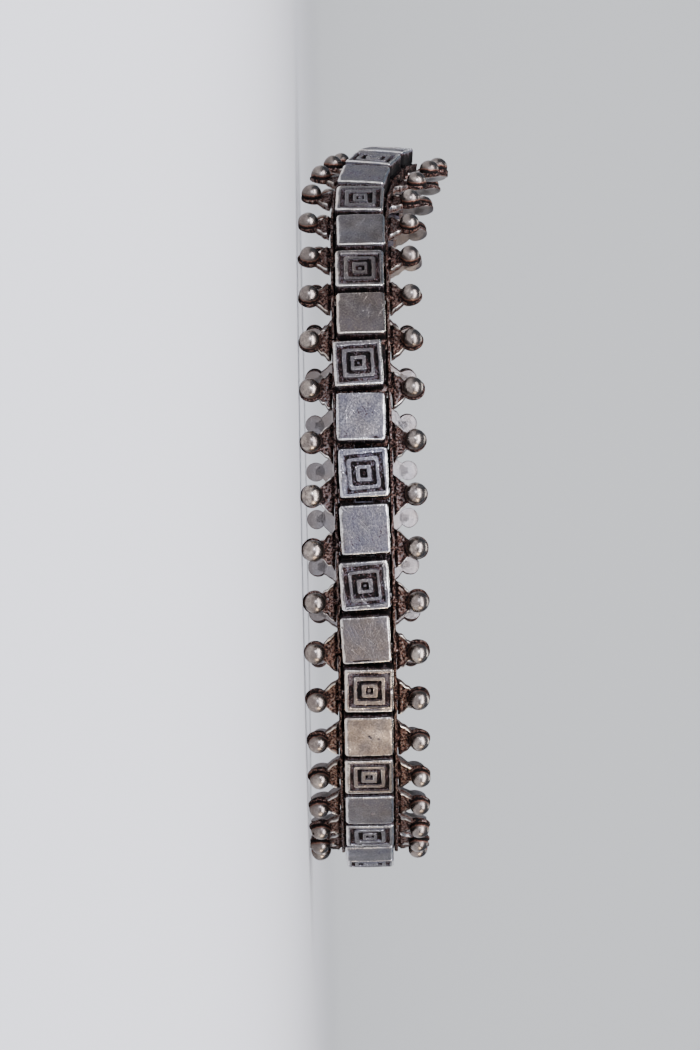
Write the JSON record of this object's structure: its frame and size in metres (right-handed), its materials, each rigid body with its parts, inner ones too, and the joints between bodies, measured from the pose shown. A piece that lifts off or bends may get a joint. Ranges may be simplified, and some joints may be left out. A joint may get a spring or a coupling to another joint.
{
  "type": "link bracelet",
  "caption": "Closed bracelet of hinged square boxes, plain and cut with nested squares by turns, with a ball on a leaf-shaped ear at both ends of each hinge.",
  "frame": {"origin": "middle of the bracelet's box seen from above, at the height of the surface it lies on", "axes": "+Z along the loop's axis, -Y out through the middle of the front, -X towards the twisted stretch"},
  "size_m": [0.0652, 0.0652, 0.0137],
  "materials": {
    "oxidised_silver": "cast and hand-worked silver, worn bright on raised edges and faces, with dark tarnish in every recess",
    "silver_wire": "drawn silver wire, lightly tarnished"
  },
  "bodies": {
    "root": {"engraved_link_01": "oxidised_silver", "plain_link_02": "oxidised_silver", "engraved_link_03": "oxidised_silver", "plain_link_04": "oxidised_silver", "engraved_link_05": "oxidised_silver", "plain_link_06": "oxidised_silver", "engraved_link_07": "oxidised_silver", "plain_link_08": "oxidised_silver", "engraved_link_09": "oxidised_silver", "plain_link_10": "oxidised_silver", "engraved_link_11": "oxidised_silver", "plain_link_12": "oxidised_silver", "engraved_link_13": "oxidised_silver", "plain_link_14": "oxidised_silver", "engraved_link_15": "oxidised_silver", "plain_link_16": "oxidised_silver", "engraved_link_17": "oxidised_silver", "plain_link_18": "oxidised_silver", "engraved_link_19": "oxidised_silver", "plain_link_20": "oxidised_silver", "engraved_link_21": "oxidised_silver", "plain_link_22": "oxidised_silver", "engraved_link_23": "oxidised_silver", "plain_link_24": "oxidised_silver", "engraved_link_25": "oxidised_silver", "plain_link_26": "oxidised_silver", "engraved_link_27": "oxidised_silver", "plain_link_28": "oxidised_silver", "engraved_link_29": "oxidised_silver", "plain_link_30": "oxidised_silver", "engraved_link_31": "oxidised_silver", "plain_link_32": "oxidised_silver", "engraved_link_33": "oxidised_silver", "plain_link_34": "oxidised_silver", "engraved_link_35": "oxidised_silver", "plain_link_36": "oxidised_silver", "engraved_link_37": "oxidised_silver", "plain_link_38": "oxidised_silver", "engraved_link_39": "oxidised_silver", "plain_link_40": "oxidised_silver", "engraved_link_41": "oxidised_silver", "plain_link_42": "oxidised_silver", "clasp_pin": "silver_wire"}
  },
  "joints": []
}
